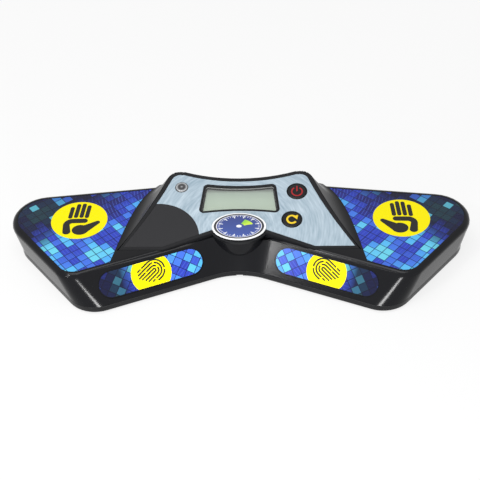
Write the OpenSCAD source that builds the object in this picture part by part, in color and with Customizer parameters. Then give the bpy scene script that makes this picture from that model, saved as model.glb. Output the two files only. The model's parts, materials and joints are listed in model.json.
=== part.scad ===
// Two-handed cube timer: hand and finger pads on two wings, tilted console between them.
// Origin: middle of the footprint, on the table. X runs along the wings, Y points to the rear.

/* [Body] */
// Height of the wing tops above the table
wing_top = 25.3; // [23:0.1:29]
// Distance from the centre to the outer side edges, square to them
side_reach = 107.5; // [104:0.5:114]
// Distance from the centre to the rear edges of the wings, square to them
rear_reach = 52.9; // [51:0.1:56]
// Distance from the centre to the front lip, square to it
front_reach = 10.3; // [9:0.1:13]
// Angle of the front lips in plan
sweep = 22.9; // [20:0.1:25]
// Angle of the side edges in plan
side_angle = 39; // [36:0.5:42]
// Angle of the rear edges in plan
rear_angle = 7.4; // [5:0.1:9]
// Steepness of the front slopes
slope = 57; // [54:0.5:62]
// Radius of the outer rear corners
outer_r = 22; // [16:0.5:26]
// Radius of the front corners at the lip
lip_corner_r = 19.6; // [15:0.2:22]
// Radius of the front corners at the wing top
top_corner_r = 14; // [11:0.5:17]
// Radius of the hollow in the middle of the lip
middle_r = 41; // [34:0.5:48]
// Radius of the rounded shoulder
shoulder_r = 3.3; // [2.2:0.1:4]
// How far the walls lean out from the lip to the shoulder
flare = 3.0; // [1:0.1:4]
// Wall thickness
wall = 2.2; // [1.6:0.1:2.6]
// Height of the parting line above the table
parting = 5.3; // [5:0.1:7]
// Thickness of the floor of the lower shell
floor_t = 2; // [1.6:0.1:2.2]

/* [Feet] */
// How far the feet stand out of the lower shell
foot_h = 1; // [0.6:0.1:1.6]
// Radius of a foot
foot_r = 5; // [3.5:0.1:7]
// Depth of the foot pockets
foot_pocket = 0.8; // [0.5:0.1:1]

/* [Console] */
// Tilt of the console face
tilt = 12.5; // [10:0.5:14]
// Place of the line where the console face starts to rise
console_y = -14.8; // [-16:0.1:-14]
// Height of that line above the table
console_z = 25; // [24.4:0.1:25.6]
// Thickness of the bezel
bezel_t = 2.4; // [2:0.1:3]
// Width of the bezel's bare frame
frame_w = 2.8; // [2:0.1:3.4]
// Depth of the recess for the plate
plate_recess = 0.5; // [0.4:0.1:0.8]
// Thickness of the plate
plate_t = 0.4; // [0.3:0.1:0.7]
// Half width of the badge
badge_a = 16.9; // [14:0.1:18]
// Half height of the badge
badge_b = 10.3; // [8.5:0.1:11]
// Distance of the badge centre up the console face
badge_v = 15.6; // [14:0.1:17]
// Thickness of the badge
badge_t = 1; // [0.6:0.1:1.4]

/* [Display] */
// Width of the display surround at its rear edge
lcd_rear_w = 46.6; // [42:0.1:50]
// Width of the display surround at its front edge
lcd_front_w = 50.6; // [46:0.1:54]
// Height of the display surround
lcd_h = 23; // [20:0.1:25]
// Distance of the display centre up the console face
lcd_v = 38.4; // [37.5:0.1:39.5]
// Width of the surround's rim
rim_w = 1.5; // [1:0.1:2.2]
// Depth from the console face to the display glass
lcd_depth = 2.6; // [2.4:0.1:3.2]

/* [Buttons] */
// Radius of the button holes in the bezel
button_hole_r = 6.1; // [5:0.1:6.4]
// Clearance round a button
button_gap = 0.35; // [0.3:0.05:0.6]
// Travel of a button
button_travel = 0.5; // [0.3:0.05:0.8]
// Radius of the indicator lens
lens_r = 4.1; // [3:0.1:4.6]

/* [Pads] */
// Thickness of the pad films
film_t = 0.4; // [0.3:0.1:0.8]
// Depth of the pad recesses
film_recess = 0.5; // [0.4:0.1:0.9]
// Length of a finger pad
finger_len = 66.2; // [60:0.2:68]
// Width of a finger pad
finger_w = 16; // [13:0.2:16.6]
// Gap round each film
film_gap = 0.15; // [0.1:0.05:0.3]
// Radius of a hand sensor
sensor_r = 14; // [10:0.5:14]

/* [Power] */
// Diameter of an AAA cell
cell_d = 10.5; // [10.3:0.1:10.6]
// Length of an AAA cell
cell_l = 44.5; // [44:0.1:44.6]
// Thickness of the battery door
door_t = 1.6; // [1.2:0.1:1.8]
// Diameter of the jack's socket
jack_d = 3.6; // [3.5:0.05:3.8]

/* [Hidden] */
cut = 200;
body_col = "#17181b";
arc_n = 6;
corner_n = 11;

// ---- outline helpers ----
function lerp(a, b, t) = a + (b - a) * t;
function arc(c, r, a0, a1, n) = [for (i = [0:n]) c + r * [cos(lerp(a0, a1, i / n)), sin(lerp(a0, a1, i / n))]];
function bezier2(a, b, c, n) = [for (i = [0:n]) let (t = i / n)
    (1 - t) * (1 - t) * a + 2 * t * (1 - t) * b + t * t * c];
function bezier3(a, b, c, d, n) = [for (i = [0:n]) let (t = i / n, s = 1 - t)
    s * s * s * a + 3 * s * s * t * b + 3 * s * t * t * c + t * t * t * d];
// both halves from a right half that runs from the rear middle to the front middle
function both(half) = concat(half, [for (i = [len(half) - 2:-1:1]) [-half[i].x, half[i].y]]);
function ellipse(a, b, c, n) = [for (i = [0:n - 1]) c + [a * cos(-360 * i / n), b * sin(-360 * i / n)]];
// the point at distances o1 and o2 along the unit directions n1 and n2
function meet(n1, o1, n2, o2) = let (det = n1.x * n2.y - n1.y * n2.x)
    [(o1 * n2.y - o2 * n1.y) / det, (n1.x * o2 - n2.x * o1) / det];
function at_height(pts, z) = [for (p = pts) [p.x, p.y, z]];

side_n = [cos(side_angle), -sin(side_angle)];
front_n = [-sin(sweep), -cos(sweep)];
rear_n = [sin(rear_angle), cos(rear_angle)];
middle_y = -(front_reach + middle_r) / cos(sweep);

// rear hollow between the wings
hollow_y = 39.95;
hollow_r = 182;
hollow_end = 14.6;
hip_r = 20;

// plan outline for given reaches: side, front, rear, and the radii of the two corners
function plan(side, front, rear, r_outer, r_front) = let (
    back = rear_reach - rear,
    c_outer = meet(side_n, side - r_outer, rear_n, rear - r_outer),
    c_front = meet(side_n, side - r_front, front_n, front - r_front),
    hip = [hollow_r * sin(hollow_end) + hip_r * sin(hollow_end),
        hollow_y + hollow_r - (hollow_r + hip_r) * cos(hollow_end)],
    r_mid = middle_r + front_reach - front)
    both(concat(
        arc([0, hollow_y + hollow_r], hollow_r + back, 270, 270 + hollow_end, arc_n),
        arc(hip, hip_r - back, 90 + hollow_end, 90 - rear_angle, 2),
        arc(c_outer, r_outer, 90 - rear_angle, -side_angle, corner_n),
        arc(c_front, r_front, -side_angle, -90 - sweep, corner_n),
        arc([0, middle_y], r_mid, 90 - sweep, 90, arc_n)));

// reaches of the walls at a height
function up(z) = (z - parting) / (wing_top - shoulder_r - parting);
function round_in(z) = z <= wing_top - shoulder_r ? 0
    : shoulder_r - sqrt(max(0, shoulder_r * shoulder_r - pow(z - wing_top + shoulder_r, 2)));
edge_r = 3.2;
slope_run = (wing_top - parting) / tan(slope);
lip_step = 0.4;
edge_back = edge_r * tan(slope / 2);
slope_top = front_reach - lip_step - slope_run;
function front_at(z) = let (turn = wing_top - edge_back * sin(slope))
    z <= turn ? slope_top + (wing_top - z) / tan(slope)
    : slope_top - edge_back + sqrt(max(0, edge_r * edge_r - pow(z - wing_top + edge_r, 2)));
function wing_plan(z, inset) = let (t = min(1, up(z)), g = inset + round_in(z))
    plan(side_reach - flare * (1 - t) - g, front_at(z) - inset,
        rear_reach - flare * (1 - t) - g, outer_r - g - 2 * (1 - t),
        lerp(lip_corner_r, top_corner_r, t) - g);

// closed solid through a stack of rings with equal point counts, each ring clockwise
// when it is looked at against the direction of the stack
module loft(rings) {
    n = len(rings[0]);
    m = len(rings);
    polyhedron([for (r = rings) each r], concat(
        [[for (i = [n - 1:-1:0]) i]],
        [for (k = [0:m - 2], i = [0:n - 1]) each let (j = (i + 1) % n,
            a = k * n + i, b = k * n + j, c = (k + 1) * n + j, d = (k + 1) * n + i)
            [[a, c, d], [a, b, c]]],
        [[for (i = [0:n - 1]) (m - 1) * n + i]]));
}
module both_sides() {
    children();
    mirror([1, 0, 0]) children();
}

// ---- console frame of reference: x across, y up the tilted face, z out of it ----
module on_console() {
    translate([0, console_y, console_z]) rotate([tilt, 0, 0]) children();
}
function from_console(p, z) = [p.x, console_y + p.y * cos(tilt) - z * sin(tilt),
    console_z + p.y * sin(tilt) + z * cos(tilt)];

// outline of the console face, drawn in from the bezel's edge
console_front = -1.8;
console_edge = -16.35;
console_corner = [38.3, 52.2];
console_corner_r = 8.4;
console_hollow_r = 114;
console_back = 54.8;
console_waist = [56, 30.6];
console_foot_x = 74.4;
corner_end = 18;
side_lean = 1.13;
function console_side(g, n) = bezier2(console_corner + (console_corner_r - g) * [cos(corner_end), sin(corner_end)],
    console_waist - [side_lean * g, 0], [console_foot_x - side_lean * g, console_front + g], n);
function console_half(g) = let (turn = asin(console_corner.x / (console_hollow_r + console_corner_r)))
    concat(
        arc([0, console_back + console_hollow_r], console_hollow_r + g, 270, 270 + turn, arc_n),
        arc(console_corner, console_corner_r - g, 90 + turn, corner_end + 9, arc_n - 1),
        console_side(g, arc_n),
        [meet(front_n, console_edge - g, [0, 1], console_front + g),
            meet(front_n, console_edge - g, [1, 0], 0)]);
function console_outline(g) = both(console_half(g));
function console_ring(g, z) = [for (p = console_outline(g)) from_console(p, z)];

// ---- wing solids ----
module wing_outer() {
    turn = wing_top - shoulder_r;
    heights = [for (a = [0, 30, 55, 75, 90]) turn + shoulder_r * sin(a)];
    loft(concat([at_height(wing_plan(parting, 0), parting)],
        [for (z = heights) at_height(wing_plan(z, 0), z)]));
}
module wing_cavity() {
    bend = wing_top - shoulder_r;
    loft([at_height(wing_plan(parting - 1, wall), parting - 1),
        at_height(wing_plan(bend - wall, wall), bend - wall),
        at_height(wing_plan(wing_top - 1, wall), wing_top - wall)]);
}
// inner edge of the hand pads, where the flank of the console starts
function pad_edge(g, n) = [for (p = bezier3([53.5, 46.4], [66, 33], [70, 12], [77.6, -28.4], n)) p - [g, 0]];
module beyond_edge(g) {
    polygon(concat([[pad_edge(g, 1)[0].x, cut]], pad_edge(g, 2 * arc_n), [[pad_edge(g, 1)[1].x, -cut],
        [cut, -cut], [cut, cut]]));
}
module hand_pad_shape(g) {
    intersection() {
        polygon(wing_plan(wing_top, g));
        beyond_edge(-g);
    }
}
module hand_film() {
    translate([0, 0, wing_top - film_recess]) linear_extrude(film_t) hand_pad_shape(rim_gap + film_gap);
}

// ---- finger pads on the front slopes ----
finger_z = 15.1;
finger_side = 59.5;
finger_groove = 0.9;
module on_slope() {
    lip_dir = [cos(sweep), -sin(sweep)];
    at = front_n * front_at(finger_z) + lip_dir * finger_side;
    translate([at.x, at.y, finger_z]) rotate([0, 0, -sweep]) rotate([slope, 0, 0]) children();
}
module pill(l, w) {
    square([l - w, w], center = true);
    for (s = [-1, 1]) translate([s * (l - w) / 2, 0]) circle(d = w, $fn = 64);
}
module finger_film() {
    on_slope() translate([0, 0, -film_recess]) linear_extrude(film_t) pill(finger_len, finger_w);
}

// ---- console pieces ----
rim_gap = 0.3;
board_top = -8.5;
board_t = 1.6;
post_at = [[30.6, 52.1], [48, 14]];
board_post_r = 2.4;
power_at = [36.2, 43.8];
reset_at = [32.8, 21.6];
lens_at = [-37, 47.6];
badge_at = [0, badge_v];
collar = 1.3;
badge_rise = 0.2;
under_bezel = 4;

ledge_in = 0.5;
room_depth = 11.8;
room_back = 49;
opening_depth = 15;
bowl_rings = [[7, 8.2, 8], [11.5, 9.3, 14], [15.8, 10.2, 20]];

// concave flank from the wing top up to the bezel
module flank() {
    n = 2 * arc_n + 2;
    edge = pad_edge(rim_gap, n);
    top = concat(arc(console_corner, console_corner_r + rim_gap, 80, corner_end + 9, 4),
        console_side(-rim_gap, n - 5));
    base = wing_top - shoulder_r - wall;
    loft([for (i = [n:-1:0]) let (a = edge[i], b = from_console(top[i], -0.6)) concat(
        [[a.x, a.y, base], [a.x, a.y, wing_top]],
        [for (u = [0.3, 0.55, 0.8, 1]) [lerp(a.x, b.x, u), lerp(a.y, b.y, u), lerp(wing_top, b.z, pow(u, 1.7))]],
        [[b.x, b.y, base]])]);
}
function flat_console(g) = [for (p = console_outline(g)) [p.x, console_y + p.y * cos(tilt)]];
module pedestal() {
    difference() {
        translate([0, 0, wing_top - shoulder_r - wall]) linear_extrude(cut / 4)
            polygon(flat_console(-rim_gap - ledge_in));
        on_console() translate([-cut, -cut, -bezel_t]) cube([2 * cut, 2 * cut, cut]);
    }
}
// bowl under the badge, narrowing down the front slope
module bowl() {
    n = 36;
    top = [for (p = ellipse(badge_a + 0.6, badge_b + 0.6, badge_at, n)) from_console(p, -bezel_t)];
    y = console_y + badge_v * cos(tilt);
    loft(concat([for (k = bowl_rings) at_height(ellipse(k[0], k[1], [0, y - 0.2], n), k[2])], [top]));
}
module case_boss(h) {
    translate([0, 0, parting]) cylinder(r = post_r, h = h, $fn = 32);
}

screw_at = [[112, 26], [64, 33], [98, -22], [30, -12]];
foot_at = [[124, 18], [92, -33], [42, 30]];
screw_r = 1.2;
screw_hole_r = 1.3;
screw_head_r = 2.6;
screw_head_h = 1.2;
post_r = 3.2;
thread_l = 10;
jack_z = 18.5;
jack_len = 12;
jack_w = 7;
barrel_r = 3.2;
barrel_gap = 0.1;
module case_points() {
    for (p = screw_at) both_sides() translate(p) children();
}
module foot_points() {
    for (p = foot_at) both_sides() translate(p) children();
}

module upper_shell() {
    color(body_col) difference() {
        union() {
            difference() {
                union() {
                    wing_outer();
                    pedestal();
                    both_sides() flank();
                    bowl();
                }
                wing_cavity();
            }
            intersection() {
                wing_outer();
                case_points() case_boss(wing_top - wall - parting + 0.5);
            }
        }
        // room under the bezel for the board
        on_console() translate([0, 0, -room_depth]) linear_extrude(room_depth)
            polygon(console_outline(under_bezel));
        on_console() translate([0, 0, -opening_depth]) linear_extrude(opening_depth) intersection() {
            polygon(console_outline(under_bezel));
            translate([-cut, room_back - cut]) square([2 * cut, cut]);
        }
        // seat of the bezel
        on_console() translate([0, 0, -bezel_t]) linear_extrude(cut / 4) polygon(console_outline(-rim_gap));
        both_sides() translate([0, 0, wing_top - film_recess]) linear_extrude(cut) hand_pad_shape(rim_gap);
        both_sides() on_slope() translate([0, 0, -film_recess]) linear_extrude(4)
            pill(finger_len + 2 * finger_groove, finger_w + 2 * finger_groove);
        case_points() translate([0, 0, parting - 1]) cylinder(r = screw_hole_r, h = thread_l + 1, $fn = 32);
        translate([0, hollow_y - 8, jack_z]) rotate([-90, 0, 0]) cylinder(r = barrel_r + barrel_gap, h = 20, $fn = 48);
    }
}

// ---- lower shell and battery door ----
cell_gap = 0.4;
cell_pitch = cell_d + 0.9;
cell_y = [15.6, 15.6 + cell_pitch];
cell_z = foot_h + floor_t + cell_gap + cell_d / 2;
bay_x = cell_l / 2 + 2.6;
bay_y = [cell_y[0] - cell_d / 2 - 1, cell_y[1] + cell_d / 2 + 0.9];
bay_wall = 2.6;
bay_back = 1.3;
bay_top = cell_z + 1;
door_gap = 0.3;
tongue = 1.4;
groove_floor = 0.9;
tongue_low = foot_h + groove_floor + door_gap;
door_x = bay_x - 0.4;
door_front = bay_y[0];

cheek = 1.2;
notch_w = 4;
notch_h = 1.6;
notch_depth = 1.2;

lip_side = side_reach - flare;
lip_rear = rear_reach - flare;
function lip_plan(g) = plan(lip_side - g, front_reach - g, lip_rear - g, outer_r - 2 - g, lip_corner_r - g);
module lip_solid() {
    loft([for (s = [[foot_h, 0.9], [foot_h + 0.3, 0.35], [foot_h + 0.9, 0], [parting - 0.2, 0], [parting, 0.25]])
        at_height(lip_plan(s[1]), s[0])]);
}
module bay_box(g, back, z) {
    translate([-bay_x - g, bay_y[0] - back, z])
        cube([2 * (bay_x + g), bay_y[1] - bay_y[0] + 2 * back, bay_top - z]);
}
// the room that the door fills, with its tongues, drawn out by a gap
module door_room(g) {
    translate([-door_x - g, door_front - g, 0]) cube([2 * (door_x + g), cut, parting + 1]);
    translate([-door_x - tongue - g, door_front - g, tongue_low - g])
        cube([2 * (door_x + tongue + g), cut, foot_h + floor_t - tongue_low + 2 * g]);
}
module lower_shell() {
    color(body_col) difference() {
        union() {
            difference() {
                lip_solid();
                translate([0, 0, foot_h + floor_t]) linear_extrude(cut) polygon(lip_plan(wall));
            }
            difference() {
                bay_box(bay_wall, bay_back, foot_h + floor_t - 0.5);
                bay_box(0, 0, 0);
            }
            // cradle under the jack, on the rear wall of the bay
            difference() {
                translate([-jack_w / 2 - cheek, bay_y[1], foot_h + floor_t])
                    cube([jack_w + 2 * cheek, bay_back, jack_z - jack_w / 2 + cheek - foot_h - floor_t]);
                translate([-jack_w / 2 - barrel_gap, 0, jack_z - jack_w / 2]) cube([jack_w + 2 * barrel_gap, cut, jack_w]);
            }
            // posts that carry the case screws
            case_points() translate([0, 0, foot_h + 0.5]) cylinder(r = post_r, h = parting - foot_h - 0.5, $fn = 32);
        }
        door_room(door_gap);
        case_points() {
            cylinder(r = screw_hole_r, h = cut, $fn = 32);
            cylinder(r = screw_head_r + 0.2, h = foot_h + screw_head_h + 0.4, $fn = 32);
        }
        foot_points() cylinder(r = foot_r, h = foot_h + foot_pocket, $fn = 48);
        // notch in the middle of the lip
        translate([-notch_w / 2, middle_y + middle_r - 1, foot_h - 1]) cube([notch_w, notch_depth + 1, notch_h + 1]);
    }
}
module battery_door() {
    color(body_col) difference() {
        intersection() {
            translate([0, 0, foot_h]) linear_extrude(parting - foot_h) polygon(lip_plan(0));
            door_room(0);
        }
        translate([-cut, door_front - 1, foot_h + floor_t])
            cube([2 * cut, bay_y[1] - door_front + 1 + bay_back + door_gap, cut]);
        translate([-cut, 0, parting - door_gap]) cube([2 * cut, cut, cut]);
        // thumb ridges
        for (i = [0:4]) translate([-9, bay_y[1] - 6 + 2 * i - 4, foot_h - 0.1]) cube([18, 0.9, 0.5]);
    }
}

// a plate with its upper edge rounded in small steps, drawn in by the given amounts
bezel_steps = [[-bezel_t, 0], [-0.6, 0.15], [-0.35, 0.35], [-0.15, 0.7]];
module console_bezel() {
    color(body_col) on_console() difference() {
        union() {
            for (k = [0:3]) translate([0, 0, bezel_steps[k][0]])
                linear_extrude(k < 3 ? bezel_steps[k + 1][0] - bezel_steps[k][0] : -bezel_steps[3][0])
                    polygon(console_outline(bezel_steps[k][1]));
            // collar and pad of the badge
            translate([0, 0, -bezel_t]) linear_extrude(bezel_t - 0.4)
                polygon(ellipse(badge_a + collar, badge_b + collar, badge_at, 64));
            translate([0, 0, -1]) linear_extrude(1 + badge_rise)
                polygon(ellipse(badge_a - 0.6, badge_b - 0.6, badge_at, 64));
            for (p = post_at, s = [-1, 1]) translate([s * p.x, p.y, board_top])
                cylinder(r = board_post_r, h = -board_top - bezel_t + 0.5, $fn = 32);
        }
        translate([0, 0, -plate_recess]) linear_extrude(cut / 4) difference() {
            polygon(console_outline(frame_w));
            polygon(ellipse(badge_a - 0.6, badge_b - 0.6, badge_at, 64));
        }
        translate([0, 0, -bezel_t - 1]) linear_extrude(bezel_t + 2) polygon(lcd_outline(0));
        for (p = [power_at, reset_at]) translate([p.x, p.y, -bezel_t - 1])
            cylinder(r = button_hole_r, h = bezel_t + 2, $fn = 64);
        translate([lens_at.x, lens_at.y, -bezel_t - 1]) cylinder(r = lens_r + lens_gap, h = bezel_t + 2, $fn = 48);
        for (p = post_at, s = [-1, 1]) translate([s * p.x, p.y, board_top - 1])
            cylinder(r = pilot_r, h = pilot_l + 1, $fn = 24);
    }
}
pilot_r = 0.9;
pilot_l = 6;
lens_gap = 0.1;
plate_hole = 0.5;

module console_plate() {
    color("#c3ccd3") on_console() translate([0, 0, -plate_recess]) linear_extrude(plate_t) difference() {
        polygon(console_outline(frame_w + film_gap));
        polygon(ellipse(badge_a - 0.6 + film_gap, badge_b - 0.6 + film_gap, badge_at, 64));
        polygon(lcd_outline(0));
        for (p = [power_at, reset_at]) translate(p) circle(r = button_hole_r + plate_hole, $fn = 64);
        translate(lens_at) circle(r = lens_r + lens_gap, $fn = 48);
    }
}
module badge() {
    color("#2b4fb0") on_console() translate([0, 0, badge_rise]) linear_extrude(badge_t)
        polygon(ellipse(badge_a, badge_b, badge_at, 64));
}

// ---- display ----
lcd_corner_r = 3.2;
lcd_bow = 1.5;
seam = 0.1;
function lcd_outline(g) = let (top = lcd_v + lcd_h / 2, low = lcd_v - lcd_h / 2, r = lcd_corner_r,
    c1 = [lcd_rear_w / 2 - r, top - r], c2 = [lcd_front_w / 2 - r, low + r])
    both(concat(
        bezier2([0, top - lcd_bow - g], [c1.x / 2, top - lcd_bow - g], c1 + (r - g) * [sin(-6), cos(-6)], 6),
        arc(c1, r - g, 90, -4, 6),
        arc(c2, r - g, -4, -90, 6),
        bezier2(c2 + (r - g) * [sin(-6), -cos(-6)], [c2.x / 2, low + lcd_bow + g], [0, low + lcd_bow + g], 6)));
window_t = 0.8;
ledge = 0.8;
ledge_t = 0.7;
panel_t = 1.6;
panel_x = lcd_front_w / 2 + 0.6;
panel_y = lcd_h / 2 - 0.4;
carrier_t = 0.9;
module lcd_surround() {
    color("#141518") on_console() difference() {
        translate([0, 0, -lcd_depth]) linear_extrude(lcd_depth) polygon(lcd_outline(seam));
        translate([0, 0, -lcd_depth - 1]) linear_extrude(cut) polygon(lcd_outline(rim_w + ledge));
        translate([0, 0, ledge_t - lcd_depth]) linear_extrude(cut) polygon(lcd_outline(rim_w));
    }
}
module lcd_window() {
    color([0.8, 0.85, 0.85, 0.35]) on_console() translate([0, 0, ledge_t - lcd_depth])
        linear_extrude(window_t) polygon(lcd_outline(rim_w + seam));
}
module lcd_panel() {
    color("#b3bfb3") on_console() translate([-panel_x, lcd_v - panel_y, -lcd_depth - panel_t])
        cube([2 * panel_x, 2 * panel_y, panel_t]);
}
module lcd_carrier() {
    px = panel_x + seam;
    py = panel_y + seam;
    color("#d8d8d2") on_console() difference() {
        translate([-px - carrier_t, lcd_v - py - carrier_t, board_top])
            cube([2 * (px + carrier_t), 2 * (py + carrier_t), -board_top - lcd_depth - 0.4]);
        translate([-px, lcd_v - py, -lcd_depth - panel_t]) cube([2 * px, 2 * py, cut]);
        translate([-px + 2, lcd_v - py + 2, board_top - 1]) cube([2 * (px - 2), 2 * (py - 2), cut]);
    }
}

// ---- lamp ----
led_r = 1.5;
led_h = 3.4;
lens_dome = 0.7;
lens_flange = 0.6;
module led_lens() {
    color("#8f9499") on_console() translate([lens_at.x, lens_at.y, -bezel_t]) difference() {
        rotate_extrude($fn = 48) polygon(concat([[0, -lens_flange], [lens_r + 0.7, -lens_flange],
            [lens_r + 0.7, 0], [lens_r, 0]],
            [for (i = [0:8]) [lens_r * cos(90 * i / 8), bezel_t - plate_recess + plate_t + lens_dome * sin(90 * i / 8)]]));
        translate([0, 0, -lens_flange - 1]) cylinder(r = lens_r - 1, h = lens_flange + 1.8, $fn = 48);
    }
}
module led() {
    color("#e8e4da") on_console() translate([lens_at.x, lens_at.y, board_top]) union() {
        cylinder(r = led_r + 0.3, h = 0.8, $fn = 32);
        cylinder(r = led_r, h = led_h, $fn = 32);
    }
}

// ---- buttons and switches ----
switch_w = 6;
switch_h = 3.5;
switch_bore = 1.8;
plunger_r = 1.75;
plunger_l = 2.2;
rest_gap = 0.3;
plunger_rise = button_travel + rest_gap;
bore_depth = plunger_l - plunger_rise + button_travel + rest_gap;
flange_w = 0.8;
flange_t = 0.8;
stem_r = 2;
button_dome = 0.35;
button_top = -0.1;
module button(at) {
    r = button_hole_r - button_gap;
    low = board_top + switch_h + plunger_rise;
    flange_top = -bezel_t - rest_gap;
    color("#141416") on_console() translate([at.x, at.y, 0]) {
        rotate_extrude($fn = 64) polygon(concat([[0, low], [stem_r, low], [stem_r, flange_top - flange_t],
            [r + flange_w, flange_top - flange_t], [r + flange_w, flange_top], [r, flange_top]],
            [for (i = [0:6]) [r * cos(90 * i / 6), button_top - button_dome + button_dome * sin(90 * i / 6)]]));
    }
}
module plunger(at) {
    color("#d8a018") on_console() translate([at.x, at.y, board_top + switch_h + plunger_rise - plunger_l])
        cylinder(r = plunger_r, h = plunger_l, $fn = 32);
}
module switch_body(at) {
    color("#55585c") on_console() translate([at.x, at.y, board_top]) difference() {
        translate([-switch_w / 2, -switch_w / 2, 0]) cube([switch_w, switch_w, switch_h]);
        translate([0, 0, switch_h - bore_depth]) cylinder(r = switch_bore, h = cut, $fn = 32);
    }
}
module power_button() { button(power_at); }
module reset_button() { button(reset_at); }
module power_plunger() { plunger(power_at); }
module reset_plunger() { plunger(reset_at); }
module power_switch() { switch_body(power_at); }
module reset_switch() { switch_body(reset_at); }

// ---- board ----
board_x = 55;
module main_board() {
    color("#1f6b3a") on_console() translate([0, 0, board_top - board_t]) linear_extrude(board_t) difference() {
        intersection() {
            polygon(console_outline(under_bezel + 1));
            translate([-board_x, -cut]) square([2 * board_x, 2 * cut]);
        }
        for (p = post_at, s = [-1, 1]) translate([s * p.x, p.y]) circle(r = pilot_r + 0.2, $fn = 24);
    }
}
chip = [16, 11, 1.4];
module controller() {
    color("#121212") on_console() translate([-chip[0] / 2, lcd_v - panel_y - 2.4, board_top - board_t - chip[2]])
        cube(chip);
}
module board_screws() {
    color("#a9a9a4") on_console() for (p = post_at, s = [-1, 1]) translate([s * p.x, p.y, board_top - board_t]) {
        cylinder(r = pilot_r - 0.05, h = board_t + 5, $fn = 24);
        translate([0, 0, -1.2]) cylinder(r = 1.9, h = 1.2, $fn = 24);
    }
}

// ---- pads ----
module right_hand_pad() { color("#2c49c8") hand_film(); }
module left_hand_pad() { color("#2c49c8") mirror([1, 0, 0]) hand_film(); }
module right_finger_pad() { color("#f2dc00") finger_film(); }
module left_finger_pad() { color("#f2dc00") mirror([1, 0, 0]) finger_film(); }

// ---- touch sensors under the pads ----
hand_at = [101.3, 12];
foil_t = 0.25;
module hand_sensor() {
    color("#b87333") translate([hand_at.x, hand_at.y, wing_top - wall - foil_t]) cylinder(r = sensor_r, h = foil_t, $fn = 64);
}
module finger_sensor() {
    color("#b87333") on_slope() translate([0, 0, -wall * sin(slope) - foil_t]) linear_extrude(foil_t) pill(44, 9);
}
module right_hand_sensor() { hand_sensor(); }
module left_hand_sensor() { mirror([1, 0, 0]) hand_sensor(); }
module right_finger_sensor() { finger_sensor(); }
module left_finger_sensor() { mirror([1, 0, 0]) finger_sensor(); }

// ---- power ----
cap_r = 2.6;
cap_l = 0.8;
can_l = cell_l - cap_l;
module cell(y, dir) {
    color("#c8781e") translate([-dir * cell_l / 2, y, cell_z]) rotate([0, dir * 90, 0]) {
        cylinder(d = cell_d, h = can_l, $fn = 48);
        cylinder(r = cap_r, h = cell_l, $fn = 32);
    }
}
module front_cell() { cell(cell_y[0], 1); }
module rear_cell() { cell(cell_y[1], -1); }
contact_t = 0.4;
contact_w = 8;
module cell_contacts() {
    color("#c9c9c2") for (k = [0, 1]) rotate([0, 0, 180 * k]) let (y = k == 0 ? cell_y[0] : -cell_y[1]) union() {
        translate([bay_x - contact_t, y - contact_w / 2, cell_z - contact_w / 2])
            cube([contact_t, contact_w, bay_top - cell_z + contact_w / 2 - 0.2]);
        translate([cell_l / 2, y, cell_z]) rotate([0, 90, 0]) intersection() {
            cylinder(r = cap_r, h = bay_x - cell_l / 2, $fn = 32);
            translate([-(bay_top - cell_z - 0.2), -cut, -cut]) cube(2 * cut);
        }
    }
}
module cell_springs() {
    color("#c9c9c2") for (k = [0, 1]) let (s = k == 0 ? -1 : 1)
        translate([s * cell_l / 2, cell_y[k], cell_z]) rotate([0, s * 90, 0]) difference() {
            cylinder(r1 = 2.6, r2 = 3.8, h = bay_x - cell_l / 2, $fn = 32);
            translate([0, 0, -1]) cylinder(r = 2, h = 10, $fn = 32);
        }
}
jack_mouth = hollow_y - 1.6;
jack_face = hollow_y - flare * (1 - up(jack_z - jack_w / 2)) - wall - barrel_gap;
module data_jack() {
    color("#202226") difference() {
        union() {
            translate([0, jack_mouth, jack_z]) rotate([90, 0, 0]) cylinder(r = barrel_r, h = 4, $fn = 48);
            translate([-jack_w / 2, jack_mouth - jack_len - 2, jack_z - jack_w / 2])
                cube([jack_w, jack_face - jack_mouth + jack_len + 2, jack_w]);
        }
        translate([0, jack_mouth + 1, jack_z]) rotate([90, 0, 0]) cylinder(d = jack_d, h = jack_len + 1, $fn = 48);
    }
}
module case_screws() {
    color("#8d8f92") case_points() {
        translate([0, 0, foot_h + 0.4]) cylinder(r = screw_head_r, h = screw_head_h, $fn = 32);
        translate([0, 0, foot_h + 0.4]) cylinder(r = screw_r, h = parting - foot_h - 0.4 + thread_l - 1, $fn = 32);
    }
}
module feet() {
    color("#2a2a2a") foot_points() cylinder(r = foot_r - 0.1, h = foot_h + foot_pocket, $fn = 48);
}

lower_shell();
upper_shell();
console_bezel();
console_plate();
badge();
lcd_surround();
lcd_window();
lcd_panel();
lcd_carrier();
led_lens();
led();
power_button();
reset_button();
power_plunger();
reset_plunger();
power_switch();
reset_switch();
main_board();
controller();
board_screws();
left_hand_pad();
right_hand_pad();
left_finger_pad();
right_finger_pad();
left_hand_sensor();
right_hand_sensor();
left_finger_sensor();
right_finger_sensor();
battery_door();
front_cell();
rear_cell();
cell_contacts();
cell_springs();
data_jack();
case_screws();
feet();
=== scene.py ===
# %% [markdown]
# # A two-handed cube timer
# The construction comes in as a fixed frame of solids. This script gives it the look of the real
# thing: a glossy moulded housing, a brushed console plate, printed touch pads and a blank display.
# Everything is in metres, with +X along the wings, +Y to the rear and +Z up.

# %% Load the frame
import json
from math import atan2, cos, pi, radians, sin, sqrt

import bpy
from mathutils import Matrix, Vector

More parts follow.
